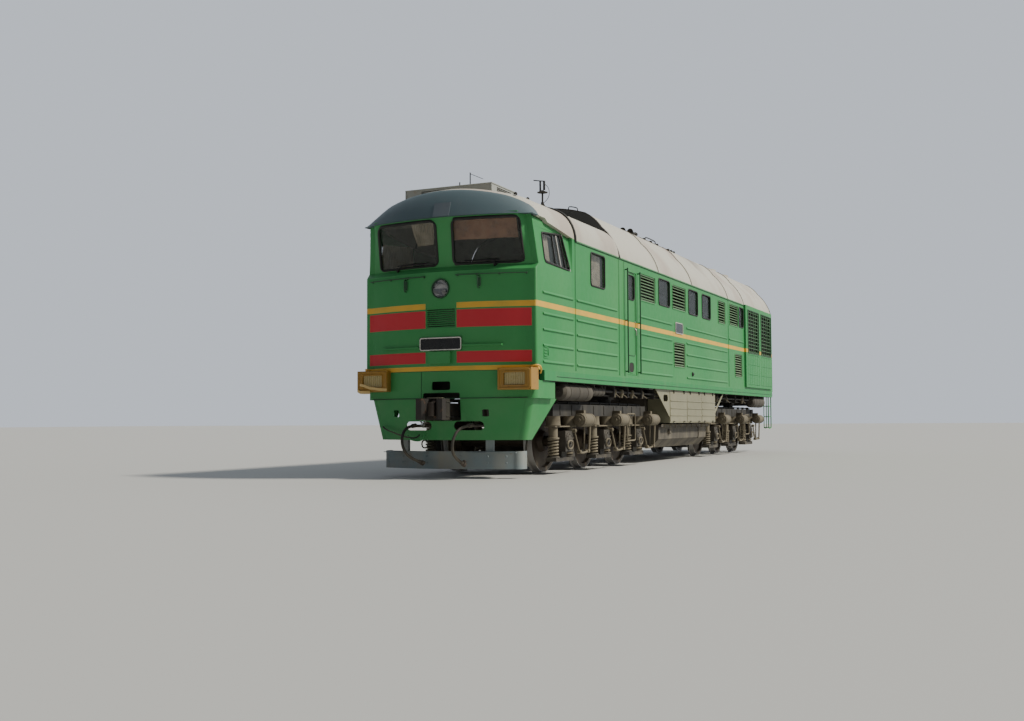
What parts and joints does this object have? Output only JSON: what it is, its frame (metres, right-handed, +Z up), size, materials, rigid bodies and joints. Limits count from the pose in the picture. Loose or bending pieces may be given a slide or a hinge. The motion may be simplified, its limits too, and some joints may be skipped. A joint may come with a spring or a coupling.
{
  "type": "diesel locomotive section",
  "caption": "Leading cab section of a heavy diesel freight locomotive on two three-axle bogies, with a bowed cab, side louvres, radiator shutters and couplers.",
  "frame": {"origin": "centre of the section at the lowest point of its wheel flanges", "axes": "+Y towards the rear gangway, +X to the locomotive's left side, +Z up"},
  "size_m": [3.236, 18.37, 5.1277],
  "materials": {
    "green_paint": "weathered satin",
    "roof_paint": "weathered matt",
    "frame_steel": "dusty matt",
    "bare_steel": "worn",
    "core_metal": "matt",
    "shutter_paint": "matt",
    "interior_paint": "satin",
    "seat_leather": "worn",
    "engine_iron": "oily",
    "lamp_glass": "clear",
    "ochre_paint": "worn",
    "window_glass": "dusty",
    "plough_paint": "worn",
    "dusty_paint": "dusty",
    "rusty_paint": "rusty",
    "sooty_steel": "sooty",
    "hose_rubber": "matt",
    "cast_fittings": "worn",
    "fan_metal": "dusty",
    "coupler_iron": "greasy",
    "bogie_steel": "dusty",
    "bogie_iron": "dusty",
    "dusty_steel": "dusty",
    "wheel_steel": "rusty with bright treads"
  },
  "bodies": {
    "hull": {"air_reservoirs": "frame_steel", "battery_boxes": "dusty_paint", "brake_hose_left": "hose_rubber", "brake_hose_right": "hose_rubber", "brake_pipes": "cast_fittings", "buffer_lamps": "ochre_paint", "cab_bulkhead": "interior_paint", "cab_roof": "roof_paint", "cab_shell": "green_paint", "centre_pins": "bare_steel", "control_desk": "interior_paint", "cooling_unit": "rusty_paint", "driver_seats": "seat_leather", "engine_block": "engine_iron", "engine_roof": "roof_paint", "exhaust_stack": "sooty_steel", "fan_cowls": "roof_paint", "front_skirt": "green_paint", "fuel_tank": "frame_steel", "handrails": "green_paint", "headlight": "lamp_glass", "hose_heads": "cast_fittings", "nose_fittings": "green_paint", "radiator_cores": "core_metal", "radiator_roof": "roof_paint", "radiator_shutters": "shutter_paint", "radiator_walls": "green_paint", "rear_wall": "green_paint", "roof_antennas": "sooty_steel", "roof_horns": "sooty_steel", "side_louvres": "green_paint", "side_wall_left": "green_paint", "side_wall_right": "green_paint", "side_windows": "window_glass", "snow_plough": "plough_paint", "underframe": "frame_steel", "windshields": "window_glass"},
    "bogie_front": {"axle_boxes_front": "bogie_iron", "bogie_frame_front": "bogie_steel", "bogie_springs_front": "dusty_steel", "brake_gear_front": "dusty_steel", "traction_motors_front": "bogie_iron"},
    "bogie_rear": {"axle_boxes_rear": "bogie_iron", "bogie_frame_rear": "bogie_steel", "bogie_springs_rear": "dusty_steel", "brake_gear_rear": "dusty_steel", "traction_motors_rear": "bogie_iron"},
    "coupler_front": {"coupler_front": "coupler_iron"},
    "coupler_rear": {"coupler_rear": "coupler_iron"},
    "gangway_door": {"gangway_door": "green_paint"},
    "radiator_fan_1": {"radiator_fan_1": "fan_metal"},
    "radiator_fan_2": {"radiator_fan_2": "fan_metal"},
    "side_door_left": {"side_door_left": "green_paint"},
    "side_door_right": {"side_door_right": "green_paint"},
    "wheelset_1": {"wheelset_1": "wheel_steel"},
    "wheelset_2": {"wheelset_2": "wheel_steel"},
    "wheelset_3": {"wheelset_3": "wheel_steel"},
    "wheelset_4": {"wheelset_4": "wheel_steel"},
    "wheelset_5": {"wheelset_5": "wheel_steel"},
    "wheelset_6": {"wheelset_6": "wheel_steel"}
  },
  "joints": [
    {"name": "bogie_front_swivel", "type": "hinge", "parent": "hull", "child": "bogie_front", "pos_m": [0, -4.8, 1.1], "axis": [0, 0, 1], "range_deg": [-3, 3]},
    {"name": "bogie_rear_swivel", "type": "hinge", "parent": "hull", "child": "bogie_rear", "pos_m": [0, 4.8, 1.1], "axis": [0, 0, 1], "range_deg": [-3, 3]},
    {"name": "wheelset_1_roll", "type": "hinge", "parent": "bogie_front", "child": "wheelset_1", "pos_m": [0, -6.65, 0.553], "axis": [1, 0, 0], "continuous": true},
    {"name": "wheelset_2_roll", "type": "hinge", "parent": "bogie_front", "child": "wheelset_2", "pos_m": [0, -4.8, 0.553], "axis": [1, 0, 0], "continuous": true},
    {"name": "wheelset_3_roll", "type": "hinge", "parent": "bogie_front", "child": "wheelset_3", "pos_m": [0, -2.95, 0.553], "axis": [1, 0, 0], "continuous": true},
    {"name": "wheelset_4_roll", "type": "hinge", "parent": "bogie_rear", "child": "wheelset_4", "pos_m": [0, 2.95, 0.553], "axis": [1, 0, 0], "continuous": true},
    {"name": "wheelset_5_roll", "type": "hinge", "parent": "bogie_rear", "child": "wheelset_5", "pos_m": [0, 4.8, 0.553], "axis": [1, 0, 0], "continuous": true},
    {"name": "wheelset_6_roll", "type": "hinge", "parent": "bogie_rear", "child": "wheelset_6", "pos_m": [0, 6.65, 0.553], "axis": [1, 0, 0], "continuous": true},
    {"name": "side_door_left_hinge", "type": "hinge", "parent": "hull", "child": "side_door_left", "pos_m": [1.479, -4.25, 2.75], "axis": [0, 0, 1], "range_deg": [0, 90]},
    {"name": "side_door_right_hinge", "type": "hinge", "parent": "hull", "child": "side_door_right", "pos_m": [-1.479, -4.25, 2.75], "axis": [0, 0, -1], "range_deg": [0, 90]},
    {"name": "gangway_door_hinge", "type": "hinge", "parent": "hull", "child": "gangway_door", "pos_m": [-0.34, 8.42, 2.75], "axis": [0, 0, -1], "range_deg": [0, 90]},
    {"name": "radiator_fan_1_spin", "type": "hinge", "parent": "hull", "child": "radiator_fan_1", "pos_m": [0, 5.86, 4.9], "axis": [0, 0, 1], "continuous": true},
    {"name": "radiator_fan_2_spin", "type": "hinge", "parent": "hull", "child": "radiator_fan_2", "pos_m": [0, 7.22, 4.9], "axis": [0, 0, 1], "continuous": true},
    {"name": "coupler_front_swing", "type": "hinge", "parent": "hull", "child": "coupler_front", "pos_m": [0, -8.075, 1.088], "axis": [0, 0, 1], "range_deg": [-8, 8]},
    {"name": "coupler_rear_swing", "type": "hinge", "parent": "hull", "child": "coupler_rear", "pos_m": [0, 8.075, 1.088], "axis": [0, 0, 1], "range_deg": [-8, 8]}
  ]
}
